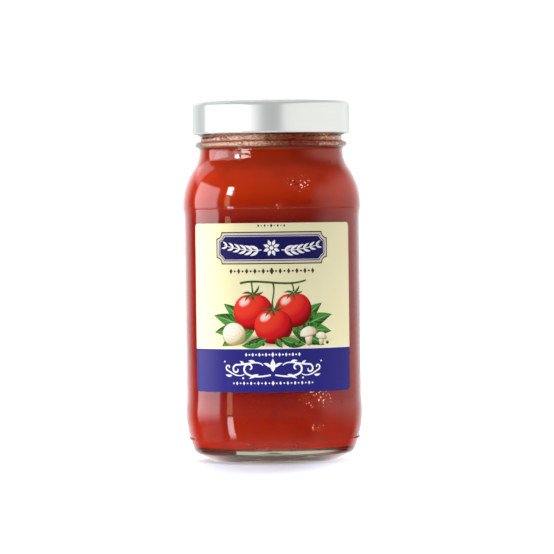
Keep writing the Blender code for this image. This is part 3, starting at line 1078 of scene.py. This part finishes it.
def oval(centre, across, up, below=1.0, turn=0.0, dent=0.0, steps=32, rings=4):
    """A round patch, as rows from its middle to its rim, with s and t from -1 to 1 across it. Its lower
    half may be flatter, and its top may be dented."""
    rows = []
    for ring in range(rings + 1):
        row = []
        for i in range(steps + 1):
            angle = tau * i / steps
            reach = ring / rings
            pressed = 1 - dent * bump_round(abs(angle - pi / 2), 0.7)
            x = across * reach * cos(angle)
            y = up * reach * pressed * sin(angle) * (1 if i < steps / 2 else below)
            spot = (centre[0] + x * cos(turn) - y * sin(turn), centre[1] + x * sin(turn) + y * cos(turn))
            row.append((*spot, reach * cos(angle), reach * sin(angle)))
        rows.append(row)
    return rows


def level(height):
    """A line that is at one height all across the label."""
    return lambda across: height


def mirrored(grids):
    """Shapes and their mirror images across the label's middle."""
    return grids + [[[(-a, up, -s, t) for a, up, s, t in row] for row in rows] for rows in grids]


def plaque(inset):
    """The plaque's field, taken in by inset, with a round scoop out of each corner."""

    def half_height(across):
        beside = PLAQUE_HALF_WIDTH - abs(across)
        scooped = sqrt(max((PLAQUE_SCOOP + inset) ** 2 - beside**2, 0))
        return min(PLAQUE_HALF_HEIGHT - inset, PLAQUE_HALF_HEIGHT - scooped)

    outer = PLAQUE_HALF_WIDTH - inset
    corner = np.linspace(PLAQUE_HALF_WIDTH - PLAQUE_SCOOP - inset, outer, 9)
    stops = [*-corner[::-1], *corner]

    def edge(side):
        return lambda across: PLAQUE_MIDDLE + side * half_height(across)

    return [upright_rows(edge(-1), edge(1), stops)]


def diamond(across, up, half_width, half_height):
    """A small diamond."""
    return oval((across, up), half_width, half_height, steps=4, rings=1)


def branch(points, count, length, width, spread):
    """A stem along the points, with pairs of leaves that get smaller towards its tip."""
    shapes = [stroke(points, 0.45, 0.4, 0.2)]
    for i in range(count):
        share = (i + 0.6) / count
        at = points[int(share * (len(points) - 1))]
        after = points[int(share * (len(points) - 1)) + 1]
        heading = atan2(after[1] - at[1], after[0] - at[0])
        for side in (-1, 1):
            size = 1 - 0.35 * share
            towards = heading + side * spread
            shapes.append(leaf(at, towards, length * size, width * size, -side * 0.35, 6))
    return shapes


def rosette(across, up, petals, length, width):
    """Petals round a middle, with a dot in it."""
    shapes = [oval((across, up), length * 0.24, length * 0.24, steps=12, rings=1)]
    for i in range(petals):
        heading = tau * (i + 0.5) / petals
        foot = polar((across, up), length * 0.3, heading)
        shapes.append(leaf(foot, heading, length * 0.75, width, 0, 6))
    return shapes


def ornament_line(up, pitch, count, large, small):
    """Dots and diamonds by turns, in a row that is the same to both sides of the middle."""
    shapes = []
    for i in range(1, count + 1):
        if i % 2:
            shapes.append(oval((i * pitch, up), small, small, steps=10, rings=1))
        else:
            shapes.append(diamond(i * pitch, up, large * 0.6, large))
    return mirrored(shapes) + [diamond(0, up, large * 0.8, large * 1.3)]


laurel = branch(curve((4.6, 65.8), (10, 65.0), (16, 66.4), (23.0, 68.0), 24), 6, 5.0, 1.35, radians(48))
scrollwork = [
    stroke(scroll((1.0, 8.0), (6.0, 7.0), (11.0, 11.2), 2.9, radians(-60), 1.7 * pi), 0.7, 0.9, 0.5),
    stroke(scroll((4.6, 12.4), (6.4, 15.4), (17.2, 10.6), 2.3, radians(100), -1.7 * pi), 0.5, 0.8, 0.5),
    stroke(scroll((13.4, 8.4), (17.0, 6.4), (21.4, 11.6), 1.5, radians(-70), 1.6 * pi), 0.4, 0.7, 0.4),
    leaf((6.6, 8.2), radians(-12), 5.0, 1.3, -0.2),
    leaf((8.0, 13.6), radians(38), 3.6, 1.2, -0.4),
    leaf((13.6, 12.6), radians(70), 2.8, 1.1, -0.5),
    leaf((19.6, 8.0), radians(-24), 3.4, 1.1, 0.5),
    leaf((1.0, 11.4), radians(58), 4.0, 1.3, -0.5),
    oval((14.0, 6.6), 0.45, 0.45, steps=12, rings=1),
    oval((23.4, 14.2), 0.4, 0.4, steps=12, rings=1),
]
flat_prints = [
    # name, shapes, layer, colour
    ("band", [upright_rows(corner_take, level(BAND_TOP), label_stops)], 1, BAND_BLUE),
    ("band_edge", [upright_rows(level(BAND_TOP), level(BAND_EDGE_TOP), label_stops)], 1, WHITE_INK),
    ("scrollwork", mirrored(scrollwork) + [leaf((0, 9.4), pi / 2, 6.2, 2.4)], 2, WHITE_INK),
    ("band_upper_line", ornament_line(17.4, 1.55, 8, 0.95, 0.42), 2, WHITE_INK),
    ("band_lower_line", ornament_line(4.2, 1.7, 11, 0.9, 0.36), 2, WHITE_INK),
    ("plaque_rim", plaque(0), 1, BLACK_INK),
    ("plaque_gap", plaque(0.5), 2, BEIGE_INK),
    ("plaque_field", plaque(1.5), 3, NAVY),
    ("plaque_hairline", plaque(1.95), 4, WHITE_INK),
    ("plaque_inner_field", plaque(2.2), 5, NAVY),
    ("laurel", mirrored(laurel) + rosette(0, PLAQUE_MIDDLE, 8, 3.8, 1.5), 6, WHITE_INK),
    ("top_line", ornament_line(77.0, 1.5, 4, 0.75, 0.3), 1, SEPIA_INK),
    ("middle_line", ornament_line(56.0, 1.95, 10, 1.35, 0.5), 1, SEPIA_INK),
]
inks = {}
for name, shapes, layer, colour in flat_prints:
    if colour not in inks:
        inks[colour] = on_paper("ink_" + name, colour)[0]
    wrapped(name, shapes, layer, inks[colour])

# The print's picture, in simple shapes: tomatoes on their vine over long leaves, half an onion,
# mushrooms and peppercorns. Its inks are shaded as if things were round and lit from the upper left.
PICTURE_LIGHT = (-0.45, 0.55, 0.70)
ONION_SKIN = (0.46, 0.24, 0.09)
SHADOW_OLIVE = (0.40, 0.35, 0.20)

printed_round, taken, given = node_group(
    "printed_round",
    {"Place": "NodeSocketVector", "Light": "NodeSocketVector"},
    {"Shade": "NodeSocketFloat", "Gleam": "NodeSocketFloat"},
)
flat = parts_of(taken["Place"])
rim = length_of(taken["Place"])
swell = maths("SUBTRACT", 1.0, maths("POWER", rim, 2.0))
swell = maths("SQRT", maths("MAXIMUM", swell, 0.0))
bulge = add(printed_round, "ShaderNodeCombineXYZ", X=flat["X"], Y=flat["Y"], Z=swell).outputs[0]
light = vectors("NORMALIZE", taken["Light"])
facing = vectors("DOT_PRODUCT", bulge, light, output="Value")
printed_round.links.new(ramp(facing, -0.35, 1.0), given["Shade"])
printed_round.links.new(ramp(facing, 0.93, 0.995), given["Gleam"])

veined_leaf, taken, given = node_group(
    "veined_leaf",
    {"Place": "NodeSocketVector"},
    {"Lit": "NodeSocketFloat", "Veins": "NodeSocketFloat"},
)
flat = parts_of(taken["Place"])
aside = maths("ABSOLUTE", flat["X"])
along = times(flat["Y"], 7.0)
slanted = maths("SUBTRACT", along, times(aside, 1.6))
side_veins = ramp(maths("PINGPONG", slanted, 0.5), 0.10, 0.02)
midrib = ramp(aside, 0.12, 0.04)
veins = maths("MAXIMUM", times(side_veins, 0.6), midrib)
veined_leaf.links.new(ramp(flat["X"], -0.9, 0.6), given["Lit"])
veined_leaf.links.new(veins, given["Veins"])


def print_place(tree):
    """Where a place is in its printed shape, from the UV map."""
    return add(tree, "ShaderNodeUVMap", {"uv_map": "print"}).outputs[0]


def shaded_ink(name, dark, middle, light, gleam, gleam_share):
    """An ink that goes from dark to light round the things it draws, with a gleam."""
    material, tree, shader = on_paper(name)
    spot = {"Place": print_place(tree), "Light": PICTURE_LIGHT}
    lit = add(tree, "ShaderNodeGroup", {"node_tree": printed_round}, **spot).outputs
    tone = mixed(ramp(lit["Shade"], 0.0, 0.5), dark, middle)
    tone = mixed(ramp(lit["Shade"], 0.55, 1.0), tone, light)
    tone = mixed(times(lit["Gleam"], gleam_share), tone, gleam)
    tree.links.new(tone, shader.inputs["Base Color"])
    return material, tree, shader, tone


round_looks = {
    # name: dark, middle, light and gleaming colours, and the gleam's share
    "tomato": ((0.20, 0.003, 0.005), (0.60, 0.008, 0.012), (0.78, 0.045, 0.02), (0.95, 0.70, 0.62), 0.9),
    "mushroom": ((0.30, 0.22, 0.11), (0.66, 0.55, 0.34), (0.86, 0.80, 0.62), (0.95, 0.93, 0.86), 0.7),
    "peppercorn": ((0.01, 0.008, 0.006), (0.035, 0.025, 0.018), (0.12, 0.09, 0.06), (0.4, 0.35, 0.3), 0.6),
    "onion": ((0.42, 0.30, 0.14), (0.74, 0.68, 0.46), (0.90, 0.87, 0.72), (0.96, 0.95, 0.88), 0.5),
}
round_inks = {name: shaded_ink("ink_" + name, *look) for name, look in round_looks.items()}
tomato_ink, mushroom_ink, peppercorn_ink, onion_ink = (ink[0] for ink in round_inks.values())
_, tree, shader, tone = round_inks["onion"]
out = length_of(print_place(tree))
rings = ramp(maths("PINGPONG", times(out, 4.2), 0.5), 0.12, 0.0)
skins = maths("MAXIMUM", times(rings, 0.55), ramp(out, 0.93, 0.97))
tree.links.new(mixed(skins, tone, ONION_SKIN), shader.inputs["Base Color"])

shadow_ink, tree, shader = on_paper("ink_shadow", roughness=0.38, gloss=0.4)
faded = ramp(length_of(print_place(tree)), 0.35, 1.0)
tree.links.new(mixed(faded, SHADOW_OLIVE, CREAM), shader.inputs["Base Color"])


def leaf_ink(name, dark, light, vein):
    """An ink for leaves, with a midrib and side veins."""
    material, tree, shader = on_paper(name)
    drawn = add(tree, "ShaderNodeGroup", {"node_tree": veined_leaf}, Place=print_place(tree)).outputs
    tone = mixed(drawn["Lit"], dark, light)
    tree.links.new(mixed(drawn["Veins"], tone, vein), shader.inputs["Base Color"])
    return material


green_ink = leaf_ink("ink_leaf", (0.010, 0.060, 0.010), (0.050, 0.26, 0.030), (0.20, 0.45, 0.12))
stem_ink = leaf_ink("ink_stem", (0.012, 0.040, 0.010), (0.05, 0.13, 0.025), (0.10, 0.24, 0.05))


def calyx(across, up, length):
    """The green star at a tomato's top, with the stub of its stalk."""
    star = [leaf((across, up), radians(a), length, length * 0.2, 0.5) for a in (-15, 25, 150, 195)]
    return star + [leaf((across, up), radians(-95), length * 0.7, length * 0.24, 0.4)]


leaf_fan = [(104, 17), (126, 20), (147, 22), (168, 20), (190, 17)]
leaves = [leaf((-9.0, 27.5), radians(heading), length, 7.0, 0.2) for heading, length in leaf_fan]
leaves += [leaf((9.5, 27.5), radians(180 - heading), length, 7.0, -0.2) for heading, length in leaf_fan]
front_leaves = [
    leaf((-3.0, 25.0), radians(214), 12.0, 4.6, -0.3),
    leaf((4.0, 25.0), radians(-32), 12.0, 4.6, 0.3),
    leaf((2.0, 24.8), radians(-80), 5.0, 2.8, 0.4),
]
vine = [
    stroke(curve((-15.0, 50.4), (-6.0, 53.0), (6.0, 48.0), (16.0, 51.6), 24), 1.0, 0.9, 0.7),
    stroke(curve((-9.5, 51.0), (-9.4, 49.4), (-9.0, 47.8), (-9.0, 45.8)), 0.8, 0.6, 0.9),
    stroke(curve((9.0, 50.2), (9.8, 49.0), (10.0, 48.4), (10.0, 46.4)), 0.8, 0.6, 0.9),
    stroke(curve((0.4, 50.4), (2.0, 46.0), (-1.0, 42.0), (0.5, 38.6)), 0.8, 0.6, 0.9),
]
tomatoes = [oval((-9, 37.4), 9.4, 8.6, dent=0.10), oval((10, 38.0), 8.8, 8.2, dent=0.10)]
mushrooms = [(17.2, 26.6, 4.4, 3.6, 0.15), (23.6, 25.0, 3.0, 2.6, -0.2)]
stalks = [oval((x, up - rise * 0.5), wide * 0.42, rise) for x, up, wide, rise, _ in mushrooms]
caps = [oval((x, up), wide, rise, 0.3, turn) for x, up, wide, rise, turn in mushrooms]
grains = [(-11.0, 22.6), (-7.6, 23.4), (-4.4, 22.2), (9.6, 22.3), (12.4, 23.0), (27.0, 22.6)]
peppercorns = [oval(at, 0.8, 0.75, steps=14, rings=1) for at in grains]
picture = [
    # name, shapes, layer, material
    ("picture_shadow", [oval((1, 24.0), 31, 3.4)], 1, shadow_ink),
    ("picture_leaves", leaves, 2, green_ink),
    ("picture_tomatoes", tomatoes, 3, tomato_ink),
    ("picture_vine", vine + calyx(-9, 45.4, 5.2) + calyx(10, 45.8, 4.6), 4, stem_ink),
    ("picture_tomato", [oval((0.5, 30.4), 8.9, 8.2, dent=0.10)], 4, tomato_ink),
    ("picture_front_leaves", front_leaves, 5, green_ink),
    ("picture_calyx", calyx(0.5, 38.2, 5.0), 5, stem_ink),
    ("picture_onion", [oval((-18.5, 27.0), 6.0, 5.4)], 5, onion_ink),
    ("picture_stalks", stalks, 5, mushroom_ink),
    ("picture_caps", caps, 6, mushroom_ink),
    ("picture_peppercorns", peppercorns, 6, peppercorn_ink),
]
for name, shapes, layer, material in picture:
    wrapped(name, shapes, layer, material)
